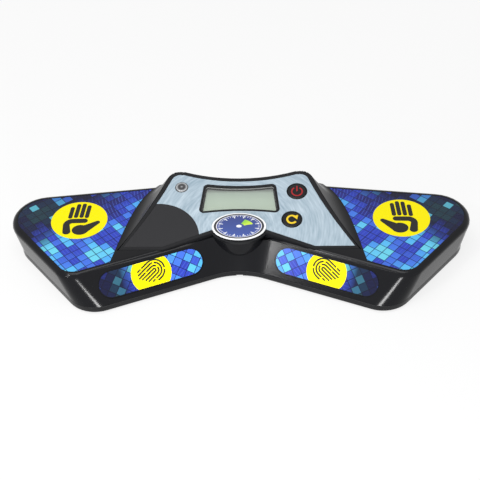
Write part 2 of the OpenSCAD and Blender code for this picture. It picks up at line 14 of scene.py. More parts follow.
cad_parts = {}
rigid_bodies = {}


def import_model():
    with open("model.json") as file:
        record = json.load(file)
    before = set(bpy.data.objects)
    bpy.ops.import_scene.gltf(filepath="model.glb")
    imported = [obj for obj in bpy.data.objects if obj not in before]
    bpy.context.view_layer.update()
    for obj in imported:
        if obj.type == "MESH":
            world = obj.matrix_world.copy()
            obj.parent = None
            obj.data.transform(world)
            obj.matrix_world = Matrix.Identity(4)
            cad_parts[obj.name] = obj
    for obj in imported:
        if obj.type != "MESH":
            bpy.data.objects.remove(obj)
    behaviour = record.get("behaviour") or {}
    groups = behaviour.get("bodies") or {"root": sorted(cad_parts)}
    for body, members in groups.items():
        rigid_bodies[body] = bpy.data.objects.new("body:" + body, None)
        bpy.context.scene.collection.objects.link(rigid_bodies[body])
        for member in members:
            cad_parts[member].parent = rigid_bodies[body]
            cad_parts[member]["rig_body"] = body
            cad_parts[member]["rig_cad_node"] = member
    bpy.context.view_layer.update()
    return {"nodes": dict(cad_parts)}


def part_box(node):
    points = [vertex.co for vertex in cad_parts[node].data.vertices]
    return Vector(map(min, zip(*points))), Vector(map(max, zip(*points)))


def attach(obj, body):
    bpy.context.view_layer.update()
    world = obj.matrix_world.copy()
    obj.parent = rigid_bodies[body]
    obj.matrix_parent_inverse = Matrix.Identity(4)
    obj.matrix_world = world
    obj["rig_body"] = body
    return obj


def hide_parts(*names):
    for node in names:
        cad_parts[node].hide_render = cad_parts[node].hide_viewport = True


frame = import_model()
mm = 0.001
print("nodes", len(frame["nodes"]))

# %% [markdown]
# The console face and the two front slopes carry most of the printed detail. Their tilts are the
# construction's own, and the finger pads' centres are read from the frame, so that a sign stays on them.

# %% Faces that carry the prints
CONSOLE_TILT = radians(12.5)
CONSOLE_ORIGIN = Vector((0, -14.8, 25)) * mm
SWEEP = radians(22.9)
SLOPE = radians(57)

console_face = Matrix.Translation(CONSOLE_ORIGIN) @ Matrix.Rotation(CONSOLE_TILT, 4, "X")


def middle(node):
    low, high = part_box(node)
    return (low + high) / 2


def slope_face(side):
    """Frame of a finger pad: x along the lip, y up the slope, z out of it. side is 1 or -1."""
    turn = Matrix.Rotation(-side * SWEEP, 4, "Z") @ Matrix.Rotation(SLOPE, 4, "X")
    centre = middle("right_finger_pad" if side > 0 else "left_finger_pad")
    return Matrix.Translation(centre) @ turn


FILM_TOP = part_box("right_hand_pad")[1].z
FILM_HALF = 0.2 * mm
print("hand films at", round(FILM_TOP / mm, 2), "mm")

# %% [markdown]
# ## Working by hand, in code
# An operator acts on everything that is selected, so each step starts from a clean selection.
# A construction solid arrives as loose triangles. A copy is welded first, its flat faces are joined,
# its edges get the small radius that a moulding has, and it is shaded smooth up to an angle.

# %% Selecting, welding and finishing
WELD = 0.002 * mm


def only(obj):
    bpy.ops.object.select_all(action="DESELECT")
    obj.select_set(True)
    bpy.context.view_layer.objects.active = obj


def edit(obj):
    only(obj)
    bpy.ops.object.mode_set(mode="EDIT")


def modifier(obj, kind, **settings):
    only(obj)
    made = obj.modifiers.new(kind.lower(), kind)
    for key, value in settings.items():
        setattr(made, key, value)
    bpy.ops.object.modifier_apply(modifier=made.name)


def smooth(obj, angle):
    only(obj)
    bpy.ops.object.shade_smooth_by_angle(angle=radians(angle))
    modifier(obj, "WEIGHTED_NORMAL", keep_sharp=True, weight=80)


def finish(obj, name, body, slot, material, *nodes):
    """Names a piece, gives it its material, says what it rides on and hides the nodes it stands in for.
    """
    obj.name = name
    obj.data.name = name
    obj.data.materials.clear()
    obj.data.materials.append(material)
    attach(obj, body)
    if nodes:
        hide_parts(*nodes)
    return obj


def skin(node, angle=40, edge=0.0):
    """A welded and smoothed copy of a node, with its edges rounded by edge."""
    obj = frame["nodes"][node].copy()
    obj.data = obj.data.copy()
    obj.parent = None
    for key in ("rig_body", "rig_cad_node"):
        del obj[key]
    bpy.context.scene.collection.objects.link(obj)
    only(obj)
    bpy.ops.mesh.customdata_custom_splitnormals_clear()
    edit(obj)
    bpy.ops.mesh.select_all(action="SELECT")
    bpy.ops.mesh.remove_doubles(threshold=WELD)
    bpy.ops.mesh.dissolve_limited(angle_limit=radians(0.4))
    bpy.ops.object.mode_set(mode="OBJECT")
    if edge:
        modifier(obj, "BEVEL", width=edge, segments=2, limit_method="ANGLE", angle_limit=radians(50),
                 use_clamp_overlap=True)
    smooth(obj, angle)
    return obj


# %% [markdown]
# ## Shader sums
# A print is a drawing made of sums: a distance, a limit, a mix. Wire wraps one socket, so that a sum
# is written as it is read, and Recipe holds a material's nodes.

# %% Wires and recipes
class Wire:
    """One output socket. Arithmetic on it adds Math nodes."""

    def __init__(self, recipe, socket):
        self.recipe = recipe
        self.socket = socket

    def math(self, operation, *others):
        values = {0: self}
        values.update({i + 1: v for i, v in enumerate(others)})
        return self.recipe.node("ShaderNodeMath", {"operation": operation}, values)

    def flipped(self, operation, other):
        return self.recipe.node("ShaderNodeMath", {"operation": operation}, {0: other, 1: self})

    def __add__(self, other):
        return self.math("ADD", other)

    def __sub__(self, other):
        return self.math("SUBTRACT", other)

    def __mul__(self, other):
        return self.math("MULTIPLY", other)

    def __truediv__(self, other):
        return self.math("DIVIDE", other)

    def __rsub__(self, other):
        return self.flipped("SUBTRACT", other)

    def __rtruediv__(self, other):
        return self.flipped("DIVIDE", other)

    __radd__ = __add__
    __rmul__ = __mul__

    def __abs__(self):
        return self.math("ABSOLUTE")

    def clamped(self):
        return self.recipe.node("ShaderNodeClamp", {}, {"Value": self})


class Recipe:
    """A material made of nodes, with its Principled shader at the end."""

    def __init__(self, name, color=(0.5, 0.5, 0.5), rough=0.5, **fixed):
        self.material = bpy.data.materials.new(name)
        self.material.use_nodes = True
        self.tree = self.material.node_tree
        self.shader = self.tree.nodes["Principled BSDF"]
        self.set(**{"Base Color": (*color, 1), "Roughness": rough, **fixed})

    def set(self, **sockets):
        for key, value in sockets.items():
            self.feed(self.shader.inputs[key], value)

    def feed(self, socket, value):
        if isinstance(value, Wire):
            self.tree.links.new(value.socket, socket)
        else:
            socket.default_value = value

    def node(self, kind, settings=None, sockets=None, out=0):
        made = self.tree.nodes.new(kind)
        for key, value in (settings or {}).items():
            if key == "stops":
                self.ramp_stops(made.color_ramp, value)
            else:
                setattr(made, key, value)
        for key, value in (sockets or {}).items():
            self.feed(made.inputs[key], value)
        return Wire(self, made.outputs[out])

    def ramp_stops(self, ramp, stops):
        while len(ramp.elements) < len(stops):
            ramp.elements.new(1.0)
        for element, (place, color) in zip(ramp.elements, stops):
            element.position = place
            element.color = (*color, 1)

    def mix(self, factor, a, b):
        """Colour a where factor is 0, and b where it is 1."""
        rgba = [v if isinstance(v, Wire) else (*v, 1) for v in (a, b)]
        return self.node("ShaderNodeMix", {"data_type": "RGBA"}, {0: factor, 6: rgba[0], 7: rgba[1]}, 2)

    def place(self):
        """x, y and z on the piece, in metres."""
        spot = self.node("ShaderNodeTexCoord", {}, {}, "Object")
        split = self.node("ShaderNodeSeparateXYZ", {}, {0: spot})
        return [Wire(self, split.socket.node.outputs[i]) for i in range(3)]

    def vector(self, x, y, z):
        return self.node("ShaderNodeCombineXYZ", {}, {0: x, 1: y, 2: z})

    def noise(self, at, scale, detail=2.0):
        return self.node("ShaderNodeTexNoise", {}, {"Vector": at, "Scale": scale, "Detail": detail})

    def bump(self, height, distance, strength=1.0):
        sockets = {"Height": height, "Distance": distance, "Strength": strength}
        self.set(Normal=self.node("ShaderNodeBump", {}, sockets))


def within(distance, limit, blur=0.05 * mm):
    """1 inside the limit and 0 outside, with a soft edge."""
    return ((limit - distance) / blur + 0.5).clamped()


def length(x, y):
    return (x * x + y * y).math("SQRT")


# %% [markdown]
# ## Moulded plastics
# The housing is gloss-black plastic. Real mouldings aren't perfect mirrors: the surface has a very
# faint orange peel that softens highlights, and handling leaves patches that are a little duller.

# %% Plastic, metal and rubber
def moulded(name, color, rough, spread=0.08, grain=0.0, **fixed):
    """Plastic with slightly uneven gloss. grain is the depth of its fine texture."""
    r = Recipe(name, color, rough, **{"Specular IOR Level": 0.2, **fixed})
    at = r.node("ShaderNodeTexCoord", {}, {}, "Object")
    patches = r.noise(at, 60.0)
    r.set(Roughness=patches * (2 * spread) + (rough - spread))
    shade = [c * 1.25 + 0.001 for c in color]
    r.set(**{"Base Color": r.mix(patches, color, shade)})
    if grain:
        r.bump(r.noise(at, 1400.0), grain)
    return r.material


housing_gloss = moulded("housing_gloss", (0.004, 0.0042, 0.0055), 0.175, 0.03, grain=0.001 * mm,
                       **{"Specular IOR Level": 0.16})
base_gloss = moulded("base_gloss", (0.007, 0.0072, 0.0085), 0.24, 0.05, grain=0.004 * mm)
bezel_satin = moulded("bezel_satin", (0.008, 0.0082, 0.0095), 0.30, 0.05, grain=0.005 * mm)
rubber_foot = moulded("rubber_foot", (0.02, 0.02, 0.02), 0.8, grain=0.02 * mm)
button_satin = moulded("button_satin", (0.008, 0.008, 0.009), 0.28, 0.05, grain=0.004 * mm)
print("plastics ready")

# %% [markdown]
# The inner parts are seldom seen, but a door that slides open shows them, so each has its own finish.
# Metal gets fine streaks in its roughness, which is what draws a highlight out along the surface.

# %% Inner finishes
def metal(name, color, rough):
    r = Recipe(name, color, rough, Metallic=1.0)
    at = r.node("ShaderNodeTexCoord", {}, {}, "Object")
    streaks = r.node("ShaderNodeMapping", {}, {"Vector": at, "Scale": (60, 900, 900)})
    grain = r.noise(streaks, 3.0)
    r.set(Roughness=grain * 0.2 + (rough - 0.1))
    return r.material


def solder_mask(name):
    """Board lacquer, with the paler lines of the tracks under it."""
    r = Recipe(name, (0.02, 0.16, 0.06), 0.3)
    x, y, _ = r.place()
    lane = (x / (2.4 * mm)).math("FRACT")
    across = (y / (3.1 * mm)).math("FRACT")
    track = within(abs(lane - 0.5), 0.1, 0.04).math("MAXIMUM", within(abs(across - 0.5), 0.07, 0.04))
    r.set(**{"Base Color": r.mix(track * 0.6, (0.012, 0.11, 0.04), (0.05, 0.30, 0.12))})
    return r.material


def shrink_wrap(name, turned):
    """A cell's sleeve: copper band at its positive end, black for the rest."""
    r = Recipe(name, (0.02, 0.02, 0.02), 0.25, Metallic=0.0)
    x, _, _ = r.place()
    band = within(x * -turned, -11 * mm, 0.1 * mm)
    r.set(**{"Base Color": r.mix(band, (0.02, 0.02, 0.022), (0.62, 0.28, 0.08))})
    r.set(Metallic=band)
    return r.material


board_green = solder_mask("board_green")
spring_steel = metal("spring_steel", (0.62, 0.62, 0.60), 0.3)
copper_foil = metal("copper_foil", (0.85, 0.47, 0.30), 0.35)
white_plastic = moulded("white_plastic", (0.72, 0.72, 0.68), 0.4)
switch_grey = moulded("switch_grey", (0.10, 0.10, 0.11), 0.45)
plunger_amber = moulded("plunger_amber", (0.60, 0.34, 0.05), 0.4)
chip_black = moulded("chip_black", (0.02, 0.02, 0.02), 0.5, grain=0.01 * mm)

# %% [markdown]
# ## Brushed plate
# The console plate is a silver film, brushed in circles about the badge. Streaks come from noise that
# is read in distance and direction: fine across the strokes and slow along them. A dark quarter disc
# is printed on its left end.

# %% Brushed silver
BADGE_CENTRE = (0.0, 15.6 * mm)
DARK_CENTRE = (-51 * mm, 8 * mm)
DARK_RADIUS = 26.5 * mm


def on_console(r):
    """x across and v up the tilted face."""
    x, y, z = r.place()
    v = (y - CONSOLE_ORIGIN.y) * cos(CONSOLE_TILT) + (z - CONSOLE_ORIGIN.z) * sin(CONSOLE_TILT)
    return x, v


def brushed_silver(name):
    r = Recipe(name, (0.6, 0.66, 0.7), 0.4, **{"Specular IOR Level": 0.3})
    x, v = on_console(r)
    dx = x - BADGE_CENTRE[0]
    dv = v - BADGE_CENTRE[1]
    reach = length(dx, dv)
    strokes = r.noise(r.vector(reach * 900, dx / reach * 5, dv / reach * 5), 1.0, 4.0)
    broad = r.noise(r.vector(reach * 160, dx / reach * 2, dv / reach * 2), 1.0, 2.0)
    tone = (strokes * 1.5 + broad * 1.1 - 0.85).clamped()
    silver = r.mix(tone, (0.26, 0.35, 0.42), (0.50, 0.59, 0.66))
    dark = within(length(x - DARK_CENTRE[0], v - DARK_CENTRE[1]), DARK_RADIUS)
    r.set(**{"Base Color": r.mix(dark, silver, (0.010, 0.010, 0.012))})
    r.set(Metallic=(1 - dark) * 0.3)
    r.set(Roughness=strokes * 0.25 + 0.30)
    r.bump(strokes, 0.01 * mm, 0.5)
    return r.material


plate_silver = brushed_silver("plate_silver")

# %% [markdown]
# ## Mosaic print
# The touch pads carry a print of small square tiles in blues, on a dark ground that takes over
# towards the outer end. Each tile gets a colour by chance from White Noise, read at the tile's own
# whole-number place, and a slow noise groups the bright ones.

# %% Tiles on the pads
NAVY = (0.022, 0.022, 0.17)
INDIGO = (0.032, 0.056, 0.46)
BLUE = (0.060, 0.17, 0.72)
SKY = (0.085, 0.42, 0.85)
CYAN = (0.15, 0.62, 0.80)
GROUND = (0.008, 0.008, 0.016)


def tiles(r, x, y, pitch, turn, seed, fade, lift, patchy):
    """Colour of a tile print at x, y. fade is 1 where the print goes dark, lift brightens it, and
    patchy is how much single tiles stand out of the dark."""
    u = (x * cos(turn) + y * sin(turn)) / pitch
    w = (y * cos(turn) - x * sin(turn)) / pitch
    cell = r.vector(u.math("FLOOR"), w.math("FLOOR"), seed)
    chance = r.node("ShaderNodeTexWhiteNoise", {"noise_dimensions": "3D"}, {"Vector": cell})
    group = r.noise(cell, 0.26, 1.0)
    level = (chance * 0.5 + group * 2.6 - 1.12 + lift).clamped()
    stops = [(0.0, NAVY), (0.18, INDIGO), (0.42, INDIGO), (0.56, BLUE), (0.74, SKY), (0.92, CYAN)]
    paint = r.node("ShaderNodeValToRGB", {"stops": stops}, {"Fac": level})
    thread = abs((length(x - 20 * mm, y - 46 * mm) / (2.1 * mm)).math("FRACT") - 0.5)
    sheen = within(thread, 0.09, 0.12) * (1 - level) * 0.45
    paint = r.mix(sheen, paint, (0.11, 0.22, 0.80))
    edge = abs(u.math("FRACT") - 0.5).math("MAXIMUM", abs(w.math("FRACT") - 0.5))
    joint = within(0.5 - edge, 0.045, 0.025) * 0.9
    paint = r.mix(joint, paint, (0.010, 0.014, 0.07))
    lone = within(0.88 - chance, 0.0, 0.02)
    dark = (fade * 1.5 + (chance - 0.5) * patchy - 0.25).clamped() * (0.95 - lone * patchy * 0.8)
    return r.mix(dark, paint, GROUND)


FILM_GLOSS = {"Specular IOR Level": 0.15}


def hand_print(side):
    r = Recipe("hand_print_" + ("right" if side > 0 else "left"), **FILM_GLOSS)
    x, y, _ = r.place()
    out = x * side
    fade = ((out - 91 * mm + (y - 6 * mm) * 0.95) / (40 * mm)).clamped()
    lift = (22 * mm - y) / (180 * mm)
    r.set(**{"Base Color": tiles(r, out, y, 5.4 * mm, radians(52), 5.0, fade, lift, 0.7)})
    r.set(Roughness=r.noise(r.vector(x, y, 0.0), 900.0) * 0.12 + 0.22)
    return r.material


def finger_print(side):
    """The print on a front slope, read along the lip from the pad's middle, outwards."""
    r = Recipe("finger_print_" + ("right" if side > 0 else "left"), **FILM_GLOSS)
    face = slope_face(side)
    x, y, z = r.place()
    along = face.to_3x3().col[0]
    up = face.to_3x3().col[1]
    c = face.translation
    dx, dy, dz = x - c.x, y - c.y, z - c.z
    u = (dx * along.x + dy * along.y + dz * along.z) * side
    w = dx * up.x + dy * up.y + dz * up.z
    fade = ((u - 4 * mm) / (18 * mm)).clamped()
    r.set(**{"Base Color": tiles(r, u, w, 5.0 * mm, radians(38), 11.0, fade, 0.14, 0.2)})
    r.set(Roughness=r.noise(r.vector(x, y, z), 900.0) * 0.1 + 0.16)
    return r.material


SIDES = {"right": 1, "left": -1}
hand_prints = {name: hand_print(side) for name, side in SIDES.items()}
finger_prints = {name: finger_print(side) for name, side in SIDES.items()}
print("prints", sorted(m.name for m in hand_prints.values()))

# %% [markdown]
# ## Inks
# The signs on the films are thick screen prints: flat colour with a slight sheen of their own.

# %% Ink colours
def ink(name, color, rough=0.35):
    r = Recipe(name, color, rough, **FILM_GLOSS)
    at = r.node("ShaderNodeTexCoord", {}, {}, "Object")
    speckle = r.noise(at, 2600.0)
    r.set(**{"Base Color": r.mix(speckle, [c * 0.92 for c in color], color)})
    r.set(Roughness=speckle * 0.12 + (rough - 0.06))
    return r.material


yellow_ink = ink("yellow_ink", (0.95, 0.83, 0.0), 0.4)
black_ink = ink("black_ink", (0.020, 0.019, 0.018), 0.4)
red_ink = ink("red_ink", (0.36, 0.022, 0.026))
amber_ink = ink("amber_ink", (0.85, 0.58, 0.03))
print("inks ready")

# %% [markdown]
# ## The housing
# Two shells meet at a fine parting line. Their shape is the construction's own, so each is a welded
# and smoothly shaded copy of its node, which is what lets highlights run along it. The door, the
# display's surround and the feet also get rounded edges.

# %% Shells, bezel and door
SKINS = [
    ("upper_shell", "housing", "shell_black", housing_gloss, 40, 0.0),
    ("lower_shell", "housing", "shell_black", base_gloss, 40, 0.0),
    ("console_bezel", "housing", "bezel_black", bezel_satin, 30, 0.0),
    ("battery_door", "door", "shell_black", base_gloss, 30, 0.12 * mm),
    ("lcd_surround", "housing", "bezel_black", bezel_satin, 30, 0.12 * mm),
    ("feet", "housing", "foot_rubber", rubber_foot, 30, 0.25 * mm),
]
for node, body, slot, material, angle, edge in SKINS:
    finish(skin(node, angle, edge), node + "_skin", body, slot, material, node)
print("housing dressed")

# %% [markdown]
# ## The badge
# The oval badge is bare of any name. It gets what a stopwatch has: a white rim, a dark band, a blue
# field with ticks and one coloured sector. All are limits on the same two numbers, how far out a
# point is on the oval and in which direction.

# %% Badge dial
BADGE_A = 16.9 * mm
BADGE_B = 10.3 * mm
TICKS = 48


def dial_print():
    r = Recipe("badge_dial", (0.05, 0.12, 0.5), 0.25)
    x, v = on_console(r)
    p = x / BADGE_A
    q = (v - BADGE_CENTRE[1]) / BADGE_B
    out = length(p, q)
    turn = q.math("ARCTAN2", p) / (2 * pi)
    tick = within(abs((turn * TICKS).math("FRACT") - 0.5), 0.12, 0.06)
    long_tick = within(abs((turn * (TICKS / 4)).math("FRACT") - 0.5), 0.055, 0.03)
    mark = tick * within(abs(out - 0.735), 0.035, 0.01)
    mark = mark.math("MAXIMUM", long_tick * within(abs(out - 0.69), 0.08, 0.01))
    blue = r.mix((q * 0.5 + 0.5).clamped(), (0.040, 0.085, 0.34), (0.022, 0.035, 0.17))
    field = r.mix(mark, blue, (0.80, 0.82, 0.86))
    sector = within(abs(turn - 0.115), 0.07, 0.004) * within(abs(out - 0.36), 0.17, 0.01)
    field = r.mix(sector, field, r.mix((turn * 6).clamped(), (0.75, 0.85, 0.05), (0.25, 0.55, 0.05)))
    hub = within(out, 0.10, 0.01)
    field = r.mix(hub, field, (0.80, 0.82, 0.86))
    line = within(abs(out - 0.825), 0.013, 0.01)
    band = within(0.84 - out, 0.0, 0.01)
    field = r.mix(band, field, (0.03, 0.03, 0.035))
    field = r.mix(line, field, (0.85, 0.85, 0.87))
    rim = within(0.925 - out, 0.0, 0.01)
    r.set(**{"Base Color": r.mix(rim, field, (0.86, 0.87, 0.88)), "Coat Weight": 0.2})
    r.set(Roughness=r.noise(r.vector(x, v, 0.0), 900.0) * 0.1 + 0.2)
    return r.material


finish(skin("badge", 30, 0.3 * mm), "badge_plate", "housing", "badge_print", dial_print(), "badge")

# %% [markdown]
# The badge sits in a rounded bowl that bulges out of the front. It is drawn down ring by ring: an oval
# is extruded, and each new ring is scaled and moved. Its rear is cut off where the console hides it.

# %% Badge bowl
# Each ring is half width, half depth, place up the face and height, in millimetres.
BOWL = [(18.1, 11.2, 15.5, -0.9), (18.3, 11.4, 15.4, -2.0), (18.0, 11.3, 15.0, -5.0),
        (17.1, 11.1, 14.3, -9.0), (15.0, 10.6, 13.4, -12.5), (10.8, 9.4, 12.6, -15.5)]
BOWL_TOP = (16.4, 9.8, 15.6, -0.3)
BOWL_REAR = 19 * mm
BOWL_WALL = 0.8 * mm
BOWL_STEPS = 72


def badge_bowl():
    """The bowl, drawn in the console's frame and then laid on it."""
    a, b, v, n = BOWL_TOP
    bpy.ops.mesh.primitive_circle_add(vertices=BOWL_STEPS, radius=mm, fill_type="NOTHING")
    obj = bpy.context.object
    edit(obj)
    bpy.ops.mesh.select_all(action="SELECT")
    bpy.ops.transform.resize(value=(a, b, 1))
    bpy.ops.transform.translate(value=(0, v * mm, n * mm))
    for ring_a, ring_b, ring_v, ring_n in BOWL:
        bpy.ops.mesh.extrude_region_move()
        bpy.ops.transform.resize(value=(ring_a / a, ring_b / b, 1), center_override=(0, v * mm, n * mm))
        bpy.ops.transform.translate(value=(0, (ring_v - v) * mm, (ring_n - n) * mm))
        a, b, v, n = ring_a, ring_b, ring_v, ring_n
    bpy.ops.mesh.select_all(action="SELECT")
    bpy.ops.mesh.bisect(plane_co=(0, BOWL_REAR, 0), plane_no=(0, 1, 0), clear_outer=True)
    bpy.ops.mesh.select_all(action="SELECT")
    bpy.ops.mesh.normals_make_consistent(inside=False)
    bpy.ops.object.mode_set(mode="OBJECT")
    modifier(obj, "SOLIDIFY", thickness=BOWL_WALL, offset=-1.0)
    modifier(obj, "SUBSURF", levels=1)
    obj.data.transform(console_face)
    smooth(obj, 50)
    return obj


finish(badge_bowl(), "badge_bowl", "housing", "shell_black", housing_gloss)
print("bowl ready")

# %% [markdown]
# ## The display
# A switched-off display is plain grey-green glass. Its colour is painted lighter towards the front and
# darker towards the rear, and a dark band along its rear edge is a painted shadow of the recess's rear
# wall. The window over it is thin and clear, so it is drawn as a see-through sheet that mirrors more at
# a flat angle.

# %% Display glass
def display_grey_painted_shade(low, high):
    r = Recipe("display_grey_painted_shade", (0.5, 0.56, 0.5), 0.45)
    x, v = on_console(r)
    painted_shade_rise = ((v - low) / (high - low)).clamped()
    # Painted shade: the ramp runs from light at the front to dark at the rear, and its last dark band is
    # a painted shadow of the recess's rear wall.
    stops = [(0.0, (0.52, 0.60, 0.50)), (0.5, (0.44, 0.52, 0.44)), (0.76, (0.36, 0.42, 0.37)),
             (0.86, (0.17, 0.19, 0.18)), (0.93, (0.07, 0.075, 0.075))]
    tone = r.node("ShaderNodeValToRGB", {"stops": stops}, {"Fac": painted_shade_rise})
    cell = r.noise(r.vector(x, v, 0.0), 1800.0)
    r.set(**{"Base Color": r.mix(cell * 0.12, tone, (0.60, 0.64, 0.58))})
    return r.material


def clear_sheet(name):
    r = Recipe(name, (1.0, 1.0, 1.0), 0.03)
    at = r.node("ShaderNodeTexCoord", {}, {}, "Object")
    see = r.node("ShaderNodeBsdfTransparent", {}, {"Color": (0.95, 0.96, 0.95, 1)})
    shine = r.node("ShaderNodeLayerWeight", {}, {"Blend": 0.25})
    r.set(Roughness=r.noise(at, 300.0) * 0.05 + 0.02)
    both = r.node("ShaderNodeMixShader", {}, {0: shine * 0.5 + 0.03, 1: see,
                                              2: Wire(r, r.shader.outputs[0])})
    r.tree.links.new(both.socket, r.tree.nodes["Material Output"].inputs[0])
    return r.material


PANEL_LOW, PANEL_HIGH = 27.0 * mm, 49.9 * mm
window_clear = clear_sheet("window_clear")
print("display", round((PANEL_HIGH - PANEL_LOW) / mm, 1), "mm high")

# %% [markdown]
# ## The lamp
# The indicator is a clear dome over a lamp. From above it shows rings: a bright edge that is a painted
# reflection, a grey well, and a dark middle with a painted glint at its centre. The rings follow the
# distance from its centre.

# %% Lamp lens
LENS_AT = (-37 * mm, 47.6 * mm)
LENS_R = 4.1 * mm


def lens_rings():
    r = Recipe("lens_rings", (0.3, 0.3, 0.3), 0.12)
    x, v = on_console(r)
    out = length(x - LENS_AT[0], v - LENS_AT[1]) / LENS_R
    # Painted light: the bright centre is a painted glint, and the bright ring near the edge is a painted
    # reflection.
    stops = [(0.0, (0.42, 0.43, 0.45)), (0.16, (0.10, 0.10, 0.105)), (0.34, (0.02, 0.02, 0.022)),
             (0.55, (0.05, 0.05, 0.052)), (0.66, (0.24, 0.25, 0.26)), (0.80, (0.40, 0.42, 0.44)),
             (0.92, (0.05, 0.05, 0.052))]
    tone = r.node("ShaderNodeValToRGB", {"stops": stops}, {"Fac": out.clamped()})
    r.set(**{"Base Color": tone, "Coat Weight": 0.3})
    return r.material


finish(skin("led_lens", 40), "led_lens_dome", "housing", "lens_grey", lens_rings(), "led_lens")

# %% [markdown]
# ## Signs
# Each sign is a few flat shapes, joined and given the thickness of thick ink. A bar with round ends
# starts as a disc whose halves are moved apart. A broken ring starts as a disc that is inset, loses
# its middle, and then loses the faces that lie in its gaps.

# %% Bars, rings and plates
INK = 0.08 * mm
STEP = 0.012 * mm


def pick_points(obj, test):
    """Selects the vertices that pass the test and goes back to edit mode."""
    bpy.ops.mesh.select_all(action="DESELECT")
    bpy.ops.object.mode_set(mode="OBJECT")
    for v in obj.data.vertices:
        v.select = test(v.co)
    bpy.ops.object.mode_set(mode="EDIT")


def pick_faces(obj, test):
    bpy.ops.mesh.select_mode(type="FACE")
    bpy.ops.mesh.select_all(action="DESELECT")
    bpy.ops.object.mode_set(mode="OBJECT")
    for f in obj.data.polygons:
        f.select = test(f.center)
    bpy.ops.object.mode_set(mode="EDIT")


def disc(at, radius, steps=48):
    bpy.ops.object.select_all(action="DESELECT")
    bpy.ops.mesh.primitive_circle_add(vertices=steps, radius=radius, fill_type="NGON", location=(*at, 0))
    return bpy.context.object


def apply_place(obj):
    only(obj)
    bpy.ops.object.transform_apply(location=True, rotation=True, scale=True)
    return obj


def bar(start, end, wide, tip=1.0):
    """A flat bar with round ends from start to end. tip is its far width over its near one."""
    obj = disc((0, 0), wide / 2, 26)
    edit(obj)
    pick_points(obj, lambda p: p.x > 0)
    along = Vector(end) - Vector(start)
    bpy.ops.transform.resize(value=(tip, tip, 1), center_override=(0, 0, 0))
    bpy.ops.transform.translate(value=(along.length, 0, 0))
    bpy.ops.object.mode_set(mode="OBJECT")
    obj.rotation_euler = (0, 0, atan2(along.y, along.x))
    obj.location = (*start, 0)
    return apply_place(obj)


def ring(at, radius, wide, keep=None, steps=72):
    """A flat ring. keep says for a direction in degrees whether the ring is there."""
    obj = disc((0, 0), radius + wide / 2, steps)
    edit(obj)
    bpy.ops.mesh.select_mode(type="FACE")
    bpy.ops.mesh.select_all(action="SELECT")
    bpy.ops.mesh.inset(thickness=wide)
    bpy.ops.mesh.delete(type="FACE")
    if keep:
        pick_faces(obj, lambda p: not keep(atan2(p.y, p.x) * 180 / pi % 360))
        bpy.ops.mesh.delete(type="FACE")
    bpy.ops.object.mode_set(mode="OBJECT")
    obj.location = (*at, 0)
    return apply_place(obj)


def join(parts):
    only(parts[0])
    for part in parts:
        part.select_set(True)
    bpy.ops.object.join()
    return bpy.context.object


def lay(parts, face, lift, dome=None):
    """Joins flat parts, thickens them and lays them on a face. dome is (radius, height) of a crowned
    one. Parts that overlap are stepped a hair apart, so that no two faces share a plane."""
    for k, part in enumerate(parts):
        part.data.transform(Matrix.Translation((0, 0, (k % 3) * STEP)))
    obj = join(parts)
    modifier(obj, "SOLIDIFY", thickness=INK, offset=0.0)
    if dome:
        radius, height = dome
        for v in obj.data.vertices:
            v.co.z -= height * (1 - sqrt(max(0.0, 1 - (v.co.xy.length / radius) ** 2)))
    obj.data.transform(face @ Matrix.Translation((0, 0, lift)))
    return obj


# %% [markdown]
# ### Yellow discs and hands
# The hand spots are plain yellow discs. The sign on them is an open hand with the thumb inwards: four
# bars for the fingers, an arch for the palm, and an oval with a tapered bar for the thumb.

# %% Hand spots
HAND_AT = Vector((101.3, 12, 0)) * mm
HAND_R = 17.8 * mm
FINGERS = [(-6.1, 2.9, 8.6), (-2.5, 3.5, 10.9), (1.0, 3.6, 11.2), (4.4, 3.3, 9.8)]
FINGER_WIDE = 2.7 * mm
FINGER_LEAN = 0.07
PALM_WIDE = 4.2 * mm


def hand_sign(side):
    """The sign in the frame of its disc; side turns it left for right."""
    def at(x, y):
        return (-side * x * mm, y * mm)

    def corner(a):
        turned = a if side < 0 else (180 - a) % 360
        return 90 < turned < 180

    parts = [bar(at(x, y), at(x + long * FINGER_LEAN, y + long), FINGER_WIDE) for x, y, long in FINGERS]
    parts.append(bar(at(-3.8, -0.9), at(3.4, -0.7), PALM_WIDE))
    parts.append(ring(at(-3.8, -4.8), 3.9 * mm, PALM_WIDE, corner))
    parts.append(bar(at(-7.7, -4.6), at(-6.8, -11.0), PALM_WIDE, 1.25))
    ball = disc(at(1.6, -9.4), 5.2 * mm)
    ball.scale = (1.0, 0.9, 1)
    parts.append(apply_place(ball))
    parts.append(bar(at(3.2, -9.4), at(11.9, -2.2), 7.4 * mm, 0.4))
    return parts


for name, side in SIDES.items():
    face = Matrix.Translation((side * HAND_AT.x, HAND_AT.y, FILM_TOP))
    spot = lay([disc((0, 0), HAND_R, 96)], face, 0)
    finish(spot, name + "_hand_spot", "housing", "hand_print", yellow_ink)
    sign = lay(hand_sign(side), face, INK * 0.6)
    finish(sign, name + "_hand_sign", "housing", "hand_print", black_ink)
print("hand spots", round(2 * HAND_R / mm, 1), "mm across")

# %% [markdown]
# ### Finger spots
# On the slopes the disc is wider than the film, so it is cut straight at the film's edges with
# bisect. The ridges on it are loops one inside the other, broken in places of their own.

# %% Finger spots
SPOT_R = 12.8 * mm
FILM_WIDE = 16 * mm
RIDGES = 4
RIDGE_PITCH = 1.85
RIDGE_WIDE = 0.92 * mm
HEART = 2.6 * mm
LEGS = [(9.8, 8.4), (10.6, 7.6), (9.8, 5.6), (8.6, 2.6)]
BROKEN = {(1, 1), (2, -1), (3, 1)}


